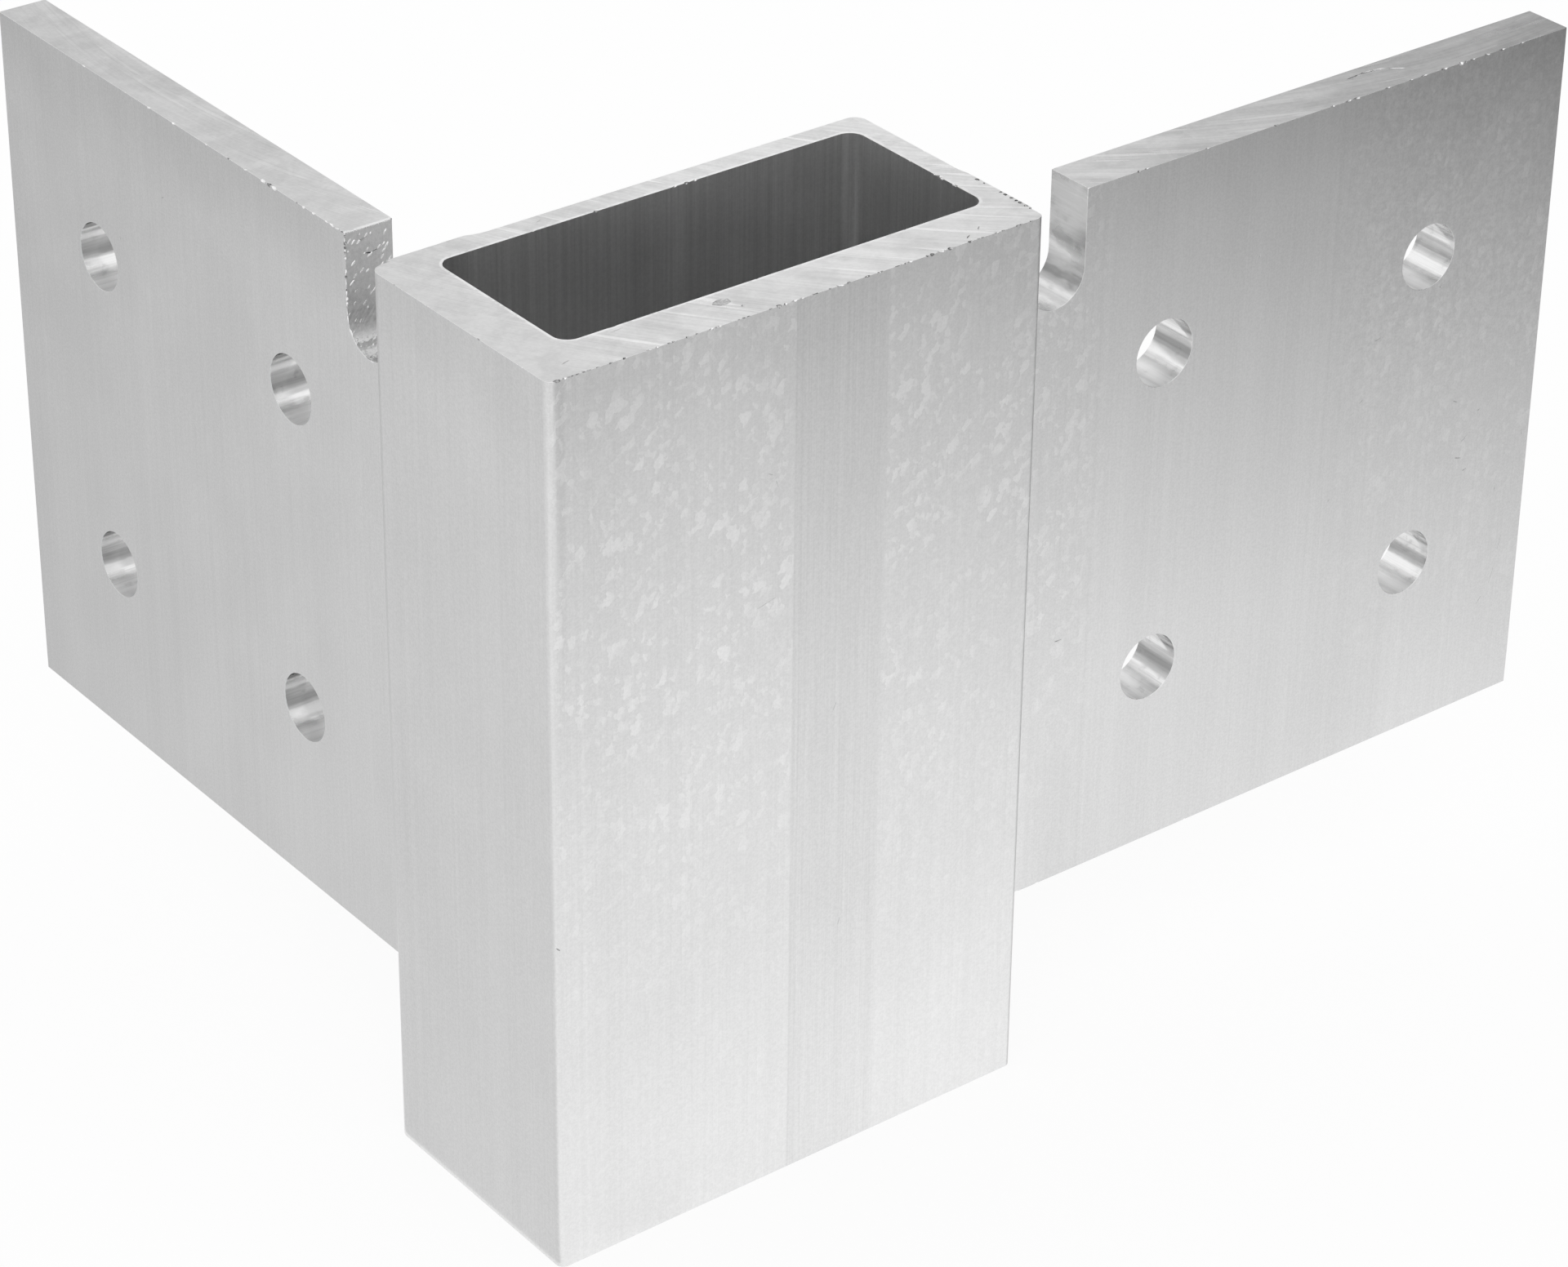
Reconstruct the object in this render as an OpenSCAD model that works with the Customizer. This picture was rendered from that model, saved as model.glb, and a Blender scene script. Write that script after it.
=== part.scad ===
// Frame corner connector: one aluminium extrusion, cut to length and machined.
// A rectangular post tube stands at the corner of two flat plates set at right angles.
// The origin is the middle of the post pocket at the tube's lower end, with +Z up the tube.

/* [Post pocket] */
// Length of the pocket, along the tube's long side
pocket_long = 87; // [75:0.5:100]
// Width of the pocket, along the tube's short side
pocket_short = 36; // [28:0.5:48]
// Radius of the pocket's inside corners
pocket_corner_r = 3; // [1:0.25:6]

/* [Tube] */
// Length that the extrusion is cut to
tube_height = 173; // [155:1:220]
// Wall on the two outer sides of the tube
outer_wall = 10; // [8:0.25:14]
// Wall on the two inner sides of the tube
inner_wall = 4.5; // [3:0.25:8]
// Corner radius at both ends of the long outer face
front_corner_r = 1.5; // [0.5:0.25:2.5]
// Radius of the other two tube corners
back_corner_r = 2.5; // [0.5:0.25:3]

/* [Plates] */
// Length of each plate from the tube's wall to its free end
plate_length = 127.5; // [115:0.5:160]
// Height of each plate down from the tube's top
plate_height = 138.5; // [110:0.5:150]
// Thickness of each plate
plate_thick = 9.5; // [6:0.25:12]
// Step from the tube's outer face back to the plate's outer face
plate_recess = 4; // [3:0.25:6]
// Fillet between a plate's inner face and the tube's wall
root_fillet_r = 10; // [5:0.5:14]

/* [Bolt holes] */
// Diameter of each bolt hole
bolt_hole_d = 13; // [9:0.5:16]
// Distance between hole centres, along the plate and down it
bolt_pitch = 64; // [50:0.5:72]
// From a plate's free end to its nearer hole centres
bolt_end = 31; // [20:0.5:36]

/* [Notches] */
// Width of the round-ended notch beside the tube
notch_width = 12.5; // [8:0.5:14]
// Depth of the notch below the tube's top
notch_depth = 21; // [15:0.5:28]
// Rib left on the tube's short-side wall where the long plate is cut away
right_rib = 0.4; // [0.2:0.1:2]
// Rib left on the tube's long-side wall where the short plate is cut away
left_rib = 0.9; // [0.2:0.1:2]

/* [Hidden] */
$fn = 96;

// Outer faces of the tube
tube_left = -pocket_long / 2 - outer_wall;
tube_right = pocket_long / 2 + inner_wall;
tube_front = -pocket_short / 2 - outer_wall;
tube_back = pocket_short / 2 + inner_wall;

// Free ends of the plates and the height of their lower edge
right_end = tube_right + plate_length;
left_end = tube_back + plate_length;
plate_bottom = tube_height - plate_height;

// Length that a cutter runs clear of the metal
run_out = 5;
// Travel of a cutter that passes right through a plate and its fillet
through_run = plate_recess + plate_thick + root_fillet_r + 2 * run_out;
// Depth that added metal is let into a wall so that the two fuse
let_in = 2;

// Rectangle between two corners, with one radius at its front corners and one at its back corners
module rounded_rectangle(low, high, front_r, back_r) {
    for (x = [low[0] + front_r, high[0] - front_r])
        translate([x, low[1] + front_r]) circle(front_r);
    for (x = [low[0] + back_r, high[0] - back_r])
        translate([x, high[1] - back_r]) circle(back_r);
    translate([low[0] + front_r, low[1]])
        square([high[0] - low[0] - 2 * front_r, front_r]);
    translate([low[0], low[1] + front_r])
        square([high[0] - low[0], high[1] - low[1] - front_r - back_r]);
    translate([low[0] + back_r, high[1] - back_r])
        square([high[0] - low[0] - 2 * back_r, back_r]);
}

// Concave fillet in the corner at the origin, between the +X and +Y directions
module root_fillet() {
    difference() {
        translate([-let_in, -let_in]) square(root_fillet_r + let_in);
        translate([root_fillet_r, root_fillet_r]) circle(root_fillet_r);
    }
}

// Section of the die: the tube, the two plates and the fillets at their roots
module extrusion_section() {
    difference() {
        union() {
            rounded_rectangle([tube_left, tube_front], [tube_right, tube_back],
                front_corner_r, back_corner_r);
            // Plate in line with the long outer face
            translate([tube_right - let_in, tube_front + plate_recess])
                square([plate_length + let_in, plate_thick]);
            translate([tube_right, tube_front + plate_recess + plate_thick])
                root_fillet();
            // Plate in line with the short outer face
            translate([tube_left + plate_recess, tube_back - let_in])
                square([plate_thick, plate_length + let_in]);
            translate([tube_left + plate_recess + plate_thick, tube_back])
                root_fillet();
        }
        rounded_rectangle([-pocket_long / 2, -pocket_short / 2],
            [pocket_long / 2, pocket_short / 2], pocket_corner_r, pocket_corner_r);
    }
}

// Both plates cut away below their lower edge, so that the tube stands out
module lower_cuts() {
    cut_height = plate_bottom + run_out;
    translate([tube_right + right_rib, tube_front - run_out, -run_out])
        cube([plate_length + run_out, through_run, cut_height]);
    translate([tube_left - run_out, tube_back + left_rib, -run_out])
        cube([through_run, plate_length + run_out, cut_height]);
}

// Round-ended slot cut along +Y, with its tube side at x = 0 and the tube's top at z = 0
module notch_cutter() {
    notch_r = notch_width / 2;
    translate([0, 0, notch_r - notch_depth])
        cube([notch_width, through_run, notch_depth - notch_r + run_out]);
    translate([notch_r, 0, notch_r - notch_depth])
        rotate([-90, 0, 0]) cylinder(r = notch_r, h = through_run);
}

// One notch in each plate, hard against the tube
module notches() {
    translate([tube_right + right_rib, tube_front - run_out, tube_height])
        notch_cutter();
    translate([tube_left - run_out, tube_back + left_rib, tube_height])
        mirror([1, -1, 0]) notch_cutter();
}

// Four bores through a plate, along +Y, about the pattern's centre
module bolt_bores() {
    bore_run = plate_thick + 2 * run_out;
    for (x = [-1, 1], z = [-1, 1])
        translate([x * bolt_pitch / 2, -bore_run / 2, z * bolt_pitch / 2])
            rotate([-90, 0, 0]) cylinder(d = bolt_hole_d, h = bore_run);
}

// The bores of both plates, each pattern half-way up its plate
module bolt_holes() {
    pattern_end = bolt_end + bolt_pitch / 2;
    plate_middle = plate_recess + plate_thick / 2;
    pattern_height = plate_bottom + plate_height / 2;
    translate([right_end - pattern_end, tube_front + plate_middle, pattern_height])
        bolt_bores();
    translate([tube_left + plate_middle, left_end - pattern_end, pattern_height])
        rotate([0, 0, 90]) bolt_bores();
}

// The whole connector, as one piece of metal
module corner_connector() {
    color("#d2d3d4")
        difference() {
            linear_extrude(tube_height) extrusion_section();
            lower_cuts();
            notches();
            bolt_holes();
        }
}

corner_connector();
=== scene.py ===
"""Looks of the frame corner connector: one aluminium extrusion, sawn to length and machined.

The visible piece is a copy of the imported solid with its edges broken, nicked and burred, and with
one material for each way in which the metal was worked. Lengths are written in millimetres, and
times MM where Blender takes them.
"""

import functools
import math
import random

import bmesh
import bpy
from mathutils import Euler, Matrix, Vector, noise


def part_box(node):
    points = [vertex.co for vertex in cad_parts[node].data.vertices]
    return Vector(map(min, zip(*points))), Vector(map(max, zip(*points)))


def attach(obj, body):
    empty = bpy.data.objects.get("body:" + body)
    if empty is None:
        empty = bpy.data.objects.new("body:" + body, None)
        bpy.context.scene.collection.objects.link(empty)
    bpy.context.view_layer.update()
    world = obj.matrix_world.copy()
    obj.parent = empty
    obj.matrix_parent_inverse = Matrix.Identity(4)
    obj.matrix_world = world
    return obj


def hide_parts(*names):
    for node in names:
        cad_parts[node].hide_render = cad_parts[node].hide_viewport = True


MM = 0.001
NODE = "corner_connector"

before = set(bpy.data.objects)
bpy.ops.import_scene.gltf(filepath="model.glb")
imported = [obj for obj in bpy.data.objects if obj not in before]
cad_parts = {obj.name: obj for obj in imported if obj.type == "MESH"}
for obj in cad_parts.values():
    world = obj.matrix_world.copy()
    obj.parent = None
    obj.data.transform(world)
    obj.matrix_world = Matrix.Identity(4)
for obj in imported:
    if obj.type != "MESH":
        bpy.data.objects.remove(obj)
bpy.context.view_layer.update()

# The photograph's frame and the camera that was fitted to its edges
IMAGE_WIDTH = 1920
CAMERA_PLACE = Vector((-435.74, -578.33, 523.93)) * MM
CAMERA_TURN = (60.616, -0.589, -37.621)
CAMERA_FOCUS_PX = 5940.7
CAMERA_SHIFT_Y = -0.0653

# Walls of the tube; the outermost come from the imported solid's box
LOW, HIGH = (Vector(corner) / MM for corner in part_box(NODE))
TUBE_LEFT, TUBE_FRONT, TOP = LOW.x, LOW.y, HIGH.z
TUBE_RIGHT, TUBE_BACK = 48.0, 22.5

# The two faces of each plate, across its thickness, and the height where both plates end
RIGHT_PLATE = (-24.0, -14.5)
LEFT_PLATE = (-49.5, -40.0)
PLATE_BOTTOM = 34.5

# Half the length and half the width of the pocket, and the radius of its corners
POCKET_X, POCKET_Y = 43.5, 18.0
POCKET_CORNER = 3.0

# The two walls of each notch, and the heights of its bottom and of the centre of its rounding
RIGHT_NOTCH = (48.4, 60.9)
LEFT_NOTCH = (23.4, 35.9)
NOTCH_BOTTOM = 152.0
NOTCH_CENTRE = 158.25

# Where the bores' centres stand along each plate, and up both
BORE_RADIUS = 6.5
RIGHT_BORES = (80.5, 144.5)
LEFT_BORES = (55.0, 119.0)
BORE_HEIGHTS = (71.75, 135.75)
BORE_PITCH = BORE_HEIGHTS[1] - BORE_HEIGHTS[0]

# Tones of the skin, the sawn ends and the milled faces, and how rough the first two are
SKIN_METAL = 0.81
SAWN_METAL = 0.83
MILLED_METAL = 0.79
SKIN_ROUGHNESS = 0.37
SAWN_ROUGHNESS = 0.36

# The centre of the arcs that the saw left on the tops
BLADE_CENTRE = Vector((158.0, 111.0, 0.0))

# Faint lines from the die down the front faces: where across them, half width, change in tone
DIE_LINES = [
    (-4.2, 0.4, -0.04), (-3.0, 0.35, -0.03), (-1.6, 0.3, -0.014), (61.4, 0.35, -0.014),
    (65.2, 0.45, -0.012), (109.5, 0.4, 0.014), (128.4, 0.5, -0.012), (130.6, 0.5, 0.014),
]

# What a bored wall shows round its seen side, in each plate: angle above the level, tone
RIGHT_BANDS = [
    (-180, 1.0), (-112, 1.0), (-100, 0.86), (-90, 0.96), (-84, 1.0), (-79, 1.0), (-74, 0.94),
    (-66, 0.78), (-60, 0.66), (-52, 0.76), (-45, 1.0), (-34, 1.0), (-29, 0.78), (-22, 0.62),
    (-16, 0.6), (-10, 0.76), (-5, 0.78), (0, 0.7), (6, 0.84), (11, 0.8), (17, 0.66), (30, 0.66),
    (44, 0.8), (60, 1.0), (120, 1.0), (180, 1.0),
]
LEFT_BANDS = [
    (-180, 1.0), (-112, 1.0), (-100, 0.94), (-90, 1.0), (-84, 1.0), (-79, 0.9), (-74, 1.0),
    (-68, 0.86), (-60, 0.66), (-50, 0.8), (-45, 1.0), (-33, 1.0), (-28, 0.64), (-22, 0.47),
    (-16, 0.46), (-6, 0.56), (2, 0.62), (6, 0.9), (9, 1.0), (15, 1.0), (20, 0.76), (30, 0.84),
    (44, 0.9), (60, 1.0), (120, 1.0), (180, 1.0),
]

# The same round the bottom of each notch, and up its wall
MILLED_BANDS = [
    (-180, 0.6), (-104, 0.68), (-92, 0.92), (-60, 0.9), (-48, 0.86), (-42, 0.78), (-35, 0.54),
    (-26, 0.6), (-19, 0.9), (-10, 0.8), (-2, 0.82), (8, 0.94), (20, 0.76), (32, 0.6),
    (44, 0.74), (70, 0.76), (180, 0.76),
]
TORN_BANDS = [
    (-180, 0.5), (-100, 0.5), (-90, 0.56), (-80, 0.9), (-68, 0.94), (-62, 0.6), (-56, 0.58),
    (-48, 0.98), (-40, 0.88), (-30, 0.72), (-18, 0.71), (-6, 0.7), (30, 0.74), (45, 0.76),
    (60, 0.74), (180, 0.74),
]


class Graph:
    """The nodes of one material, added with their inputs and links in one call each."""

    def __init__(self, name):
        self.material = bpy.data.materials.new(name)
        self.material.use_nodes = True
        self.tree = self.material.node_tree
        self.shader = self.tree.nodes["Principled BSDF"]
        self.output = self.tree.nodes["Material Output"]

    def add(self, kind, inputs=(), output=0, **settings):
        node = self.tree.nodes.new(kind)
        for name, value in settings.items():
            setattr(node, name, value)
        for name, value in dict(inputs).items():
            self.join(node.inputs[name], value)
        return node.outputs[output]

    def join(self, socket, value):
        if isinstance(value, bpy.types.NodeSocket):
            self.tree.links.new(value, socket)
        else:
            socket.default_value = value

    def math(self, operation, first, second=0.0):
        return self.add("ShaderNodeMath", {0: first, 1: second}, operation=operation)

    def times(self, *values):
        return functools.reduce(lambda total, value: self.math("MULTIPLY", total, value), values)

    def total(self, *values):
        return functools.reduce(lambda total, value: self.math("ADD", total, value), values)

    def place(self):
        """Where the point is on the part, in millimetres."""
        inputs = {0: self.add("ShaderNodeTexCoord", output="Object"), "Scale": 1 / MM}
        return self.add("ShaderNodeVectorMath", inputs, operation="SCALE")

    def axes(self, vector):
        return self.add("ShaderNodeSeparateXYZ", {0: vector}).node.outputs

    def mapped(self, vector, scale):
        return self.add("ShaderNodeMapping", {"Vector": vector, "Scale": scale})

    def slanted(self, vector, sizes, turn):
        """Texture space with grains of these sizes in millimetres, leant over about Y."""
        inputs = {"Vector": vector, "Scale": sizes, "Rotation": (0, math.radians(turn), 0)}
        return self.add("ShaderNodeMapping", inputs, vector_type="TEXTURE")

    def noise(self, vector, scale=1.0, detail=2.0, roughness=0.5, distortion=0.0):
        inputs = {"Vector": vector, "Scale": scale, "Detail": detail, "Roughness": roughness,
                  "Distortion": distortion}
        return self.add("ShaderNodeTexNoise", inputs, output="Fac")

    def ramp(self, value, low, high, bottom=0.0, top=1.0, kind="SMOOTHSTEP"):
        inputs = {"Value": value, "From Min": low, "From Max": high,
                  "To Min": bottom, "To Max": top}
        return self.add("ShaderNodeMapRange", inputs, output="Result", interpolation_type=kind)

    def line(self, value, centre, half):
        """1 where the value is at the centre, falling to 0 at half a width from it."""
        away = self.math("ABSOLUTE", self.math("SUBTRACT", value, centre))
        return self.ramp(away, 0.0, half, 1.0, 0.0)

    def flakes(self, vector, share):
        """1 on a share of the cells of a random mosaic, with a random strength for each cell."""
        cells = self.add("ShaderNodeTexVoronoi", {"Vector": vector, "Scale": 1.0}, output="Color")
        dice = self.add("ShaderNodeSeparateColor", {0: cells}).node.outputs
        chosen = self.math("GREATER_THAN", dice["Red"], 1 - share)
        return self.times(chosen, self.ramp(dice["Green"], 0.0, 1.0, 0.45, 1.0, "LINEAR"))

    def specks(self, vector, share, radius):
        """1 near the middles of a share of the cells of a random mosaic."""
        cells = self.add("ShaderNodeTexVoronoi", {"Vector": vector, "Scale": 1.0}, output="Color")
        dice = self.add("ShaderNodeSeparateColor", {0: cells}).node.outputs
        away = cells.node.outputs["Distance"]
        return self.times(self.math("GREATER_THAN", dice["Blue"], 1 - share),
                          self.ramp(away, radius, 0.7 * radius))

    def bands(self, degrees, stops):
        """The tone at an angle, as a plain number, between stops given with their angles."""
        ramp = self.tree.nodes.new("ShaderNodeValToRGB")
        self.join(ramp.inputs[0], self.ramp(degrees, -180.0, 180.0, kind="LINEAR"))
        elements = ramp.color_ramp.elements
        while len(elements) < len(stops):
            elements.new(0.5)
        for element, (angle, tone) in zip(elements, stops):
            element.position = (angle + 180) / 360
            element.color = (tone, tone, tone, 1)
        ramp.color_ramp.interpolation = "EASE"
        return self.math("MULTIPLY", ramp.outputs[0], 1.0)

    def angle(self, rise, run):
        return self.math("DEGREES", self.math("ARCTAN2", rise, run))

    def wrapped(self, value, centre, pitch):
        """The distance past the nearest of evenly spaced places, one of which is the centre."""
        away = self.math("SUBTRACT", value, centre)
        wrap = self.math("WRAP", away, pitch / 2)
        wrap.node.inputs[2].default_value = -pitch / 2
        return wrap

    def metal(self, tone, roughness, relief, strength, depth):
        """Join a grey, a roughness and a relief to the shader of a bare metal."""
        grey = self.add("ShaderNodeCombineColor", {0: tone, 1: tone, 2: tone})
        self.join(self.shader.inputs["Base Color"], grey)
        self.join(self.shader.inputs["Roughness"], roughness)
        bump = self.add("ShaderNodeBump", {"Height": relief, "Strength": strength,
                                           "Distance": depth * MM}, output="Normal")
        self.join(self.shader.inputs["Normal"], bump)
        self.shader.inputs["Metallic"].default_value = 1.0
        return self.material


def extruded_skin():
    """Walls as they leave the die: lines down their length, faint clouds and pale grain flakes."""
    graph = Graph("mill_aluminium_extruded")
    place = graph.place()
    x, y, z = graph.axes(place)
    broad = graph.noise(graph.mapped(place, (0.11, 0.11, 0.0015)), detail=1)
    lines = graph.noise(graph.mapped(place, (1.3, 1.3, 0.004)), detail=1.5, roughness=0.6)
    hairs = graph.noise(graph.mapped(place, (4.2, 4.2, 0.05)), detail=1)
    grain = graph.noise(place, scale=2.2, detail=1.5, roughness=0.75)
    cloud = graph.noise(place, scale=0.045, detail=2)

    # The die's bearing left a duller, more closely lined strip down the middle of the long face
    front = graph.ramp(y, RIGHT_PLATE[0] + 1.0, RIGHT_PLATE[0] + 0.2)
    long_face = graph.ramp(y, TUBE_FRONT + 1.0, TUBE_FRONT + 0.2)
    band = graph.times(graph.ramp(x, -4.6, -3.9), graph.ramp(x, 16.0, 13.0), long_face)
    pocket = graph.times(
        graph.ramp(graph.math("ABSOLUTE", x), POCKET_X + 0.4, POCKET_X + 0.2),
        graph.ramp(graph.math("ABSOLUTE", y), POCKET_Y + 0.4, POCKET_Y + 0.2))
    line_depth = graph.total(0.065, graph.times(pocket, 0.2))
    hair_depth = graph.total(0.055, graph.times(band, 0.05), graph.times(pocket, 0.1))
    seam = graph.times(graph.line(x, 5.2, 0.9), pocket)
    pocket_end = graph.times(graph.ramp(x, -34.0, -41.0), pocket)
    die_lines = graph.total(*[graph.times(graph.line(x, centre, half), change)
                              for centre, half, change in DIE_LINES])

    # Grain flakes show beside that strip, beside the tube on the long plate and at its free end
    beside = graph.times(graph.ramp(x, 72.0, 58.0), graph.ramp(band, 0.5, 0.0))
    flaked = graph.math("MAXIMUM", beside, graph.ramp(x, 116.0, 140.0, 0.0, 0.7))
    flaked = graph.times(
        flaked, graph.ramp(z, 30.0, 130.0, 0.15, 1.0), graph.ramp(y, -12.0, -20.0, 0.16, 1.0),
        graph.ramp(x, -53.3, -52.0, 0.2, 1.0))
    warp = graph.add("ShaderNodeTexNoise", {"Vector": place, "Scale": 1.1, "Detail": 1.0},
                     output="Color")
    warped = graph.add("ShaderNodeVectorMath", {0: warp, 1: (1.1, 1.1, 1.1), 2: place},
                       operation="MULTIPLY_ADD")
    large = graph.flakes(graph.slanted(warped, (1.3, 1.3, 2.2), 26), 0.15)
    small = graph.flakes(graph.slanted(warped, (0.8, 0.8, 1.2), -20), 0.12)
    patches = graph.ramp(graph.noise(place, scale=0.09, detail=1), 0.32, 0.5, 0.3, 1.0)
    flakes = graph.times(graph.math("MAXIMUM", large, graph.times(small, 0.8)), flaked, patches)

    # The long plate is dimpled at the top of its free end
    dimples = graph.noise(place, scale=0.9, detail=1.5, roughness=0.6)
    dimpled = graph.times(graph.ramp(x, 112.0, 135.0), graph.ramp(z, 95.0, 130.0),
                          graph.ramp(dimples, 0.3, 0.7, -1.0, 1.0))

    # The skin is duller at the tube's rounded corners, under the top and at the long plate's foot,
    # and brighter at the foot of the long face
    left_corner = graph.times(graph.line(x, -51.1, 1.1), graph.ramp(z, 90.0, 150.0), long_face)
    left_part = graph.times(graph.ramp(x, -26.0, -52.0), graph.ramp(z, 50.0, 120.0), long_face)
    under_top = graph.times(graph.ramp(z, 155.0, 171.0), graph.ramp(pocket, 1.0, 0.0),
                            graph.ramp(y, 22.0, 24.0, 0.5, 1.0))
    long_foot = graph.times(graph.ramp(z, 62.0, 8.0), long_face)
    plate_foot = graph.times(graph.ramp(x, 50.0, 60.0), graph.ramp(x, 150.0, 130.0),
                             graph.ramp(z, 80.0, 40.0))
    right_corner = graph.times(graph.ramp(x, 46.6, 47.4), graph.ramp(y, -26.9, -27.3))
    tone = graph.total(
        SKIN_METAL,
        graph.ramp(broad, 0.3, 0.7, -0.006, 0.006),
        graph.ramp(cloud, 0.3, 0.7, -0.014, 0.01),
        graph.ramp(grain, 0.25, 0.75, -0.034, 0.034),
        graph.times(graph.math("SUBTRACT", lines, 0.5), line_depth),
        graph.times(graph.math("SUBTRACT", hairs, 0.5), hair_depth),
        graph.times(die_lines, front),
        graph.times(flakes, 0.095),
        graph.times(dimpled, 0.035),
        graph.times(band, -0.04),
        graph.times(left_corner, -0.045),
        graph.times(left_part, -0.045),
        graph.times(long_foot, 0.06),
        graph.times(plate_foot, -0.045),
        graph.times(under_top, -0.07),
        graph.times(right_corner, -0.3),
        graph.times(seam, 0.12),
        graph.times(pocket_end, -0.14))
    rough = graph.total(SKIN_ROUGHNESS, graph.ramp(cloud, 0.3, 0.7, -0.02, 0.02),
                        graph.times(flakes, -0.03))
    relief = graph.total(hairs, graph.times(grain, 0.5))
    return graph.metal(tone, rough, relief, 0.1, 0.02)


def sawn_end():
    """The sawn ends: arcs that the blade's teeth left, smears, dust and a bright lip."""
    graph = Graph("mill_aluminium_sawn")
    place = graph.place()
    x, y, _ = graph.axes(place)
    flat = graph.add("ShaderNodeVectorMath", {0: place, 1: (1.0, 1.0, 0.0), 2: -BLADE_CENTRE},
                     operation="MULTIPLY_ADD")
    radius = graph.add("ShaderNodeVectorMath", {0: flat}, output="Value", operation="LENGTH")
    run, rise, _ = graph.axes(flat)
    angle = graph.math("ARCTAN2", rise, run)

    def arcs(pitch, sweep, shift=0.0, **settings):
        across = graph.total(graph.times(radius, 1.0 / pitch), shift)
        along = graph.times(angle, sweep)
        return graph.noise(graph.add("ShaderNodeCombineXYZ", {0: across, 1: along}), **settings)

    def beyond(value, half):
        """How far past the centres of the pocket's rounded corners, on either side."""
        distance = graph.math("SUBTRACT", graph.math("ABSOLUTE", value), half - POCKET_CORNER)
        return graph.math("MAXIMUM", distance, 0.0)

    wide = arcs(4.5, 5.0, detail=1)
    streaks = arcs(0.8, 9.0, detail=1)
    fine = arcs(0.22, 14.0, detail=1)
    gouges = arcs(1.7, 5.0, shift=5.3, detail=1)
    smear = graph.noise(place, scale=0.16, detail=3, roughness=0.65, distortion=0.5)
    dust = graph.noise(place, scale=1.4, detail=1.5, roughness=0.7)

    # The arcs fade out towards the left wall
    clear = graph.ramp(x, -50.0, -38.0, 0.15, 1.0)

    # A thin bright lip round the pocket and along the torn notch, broken here and there
    past = graph.add("ShaderNodeCombineXYZ", {0: beyond(x, POCKET_X), 1: beyond(y, POCKET_Y)})
    away = graph.add("ShaderNodeVectorMath", {0: past}, output="Value", operation="LENGTH")
    pocket_lip = graph.ramp(away, POCKET_CORNER + 0.75, POCKET_CORNER + 0.3)
    notch_lip = graph.times(
        graph.ramp(y, LEFT_NOTCH[1] + 0.8, LEFT_NOTCH[1] + 0.3), graph.ramp(y, 30.0, 31.0),
        graph.ramp(x, -38.0, -39.0))
    breaks = graph.noise(place, scale=0.35, detail=3, roughness=0.7)
    broken = graph.ramp(breaks, 0.4, 0.52, 0.2, 1.0)
    lip = graph.times(graph.math("MAXIMUM", pocket_lip, notch_lip), broken)

    right_part = graph.times(graph.ramp(x, -15.0, 35.0), graph.ramp(x, 52.0, 47.0))
    gouge = graph.times(graph.ramp(gouges, 0.62, 0.65), clear)
    beside = graph.times(graph.ramp(gouges, 0.585, 0.635), clear)
    tone = graph.total(
        SAWN_METAL,
        graph.times(graph.ramp(wide, 0.3, 0.7, -0.05, 0.05), clear),
        graph.times(graph.ramp(streaks, 0.3, 0.7, -0.035, 0.035), clear),
        graph.ramp(fine, 0.3, 0.7, -0.018, 0.018),
        graph.ramp(smear, 0.36, 0.66, 0.025, -0.06),
        graph.ramp(dust, 0.3, 0.7, -0.02, 0.02),
        graph.times(right_part, 0.06),
        graph.times(graph.ramp(x, 5.0, -30.0), -0.04),
        graph.times(gouge, 0.16),
        graph.times(lip, 0.22),
        graph.times(beside, -0.05))
    rough = graph.total(SAWN_ROUGHNESS, graph.ramp(wide, 0.3, 0.7, -0.03, 0.03),
                        graph.times(gouge, -0.08))
    relief = graph.total(streaks, graph.times(fine, 0.4))
    return graph.metal(tone, rough, relief, 0.2, 0.05)


def bored(name, across, first, grain_scale, stops):
    """Bored walls: burnished bands along the bore, at angles that differ a little between bores."""
    graph = Graph(name)
    place = graph.place()
    axes = graph.axes(place)
    rise = graph.wrapped(axes["Z"], BORE_HEIGHTS[0], BORE_PITCH)
    run = graph.wrapped(axes[across], first, BORE_PITCH)
    sway = graph.noise(place, scale=0.024, detail=0)
    wander = graph.noise(place, scale=0.35, detail=1)
    angle = graph.total(graph.angle(rise, run), graph.ramp(sway, 0.2, 0.8, -9.0, 9.0, "LINEAR"),
                        graph.ramp(wander, 0.2, 0.8, -1.6, 1.6, "LINEAR"))
    streaks = graph.noise(graph.mapped(place, grain_scale), detail=1)
    smudges = graph.noise(place, scale=0.5, detail=2)
    tone = graph.total(graph.bands(angle, stops), graph.ramp(streaks, 0.3, 0.7, -0.04, 0.04),
                       graph.ramp(smudges, 0.6, 0.75, 0.0, -0.1))
    steep = graph.ramp(graph.math("ABSOLUTE", angle), 50.0, 72.0)
    rough = graph.total(graph.ramp(smudges, 0.4, 0.7, 0.12, 0.22), graph.times(steep, 0.34))
    return graph.metal(graph.math("MINIMUM", tone, 1.0), rough, streaks, 0.2, 0.02)


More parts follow.
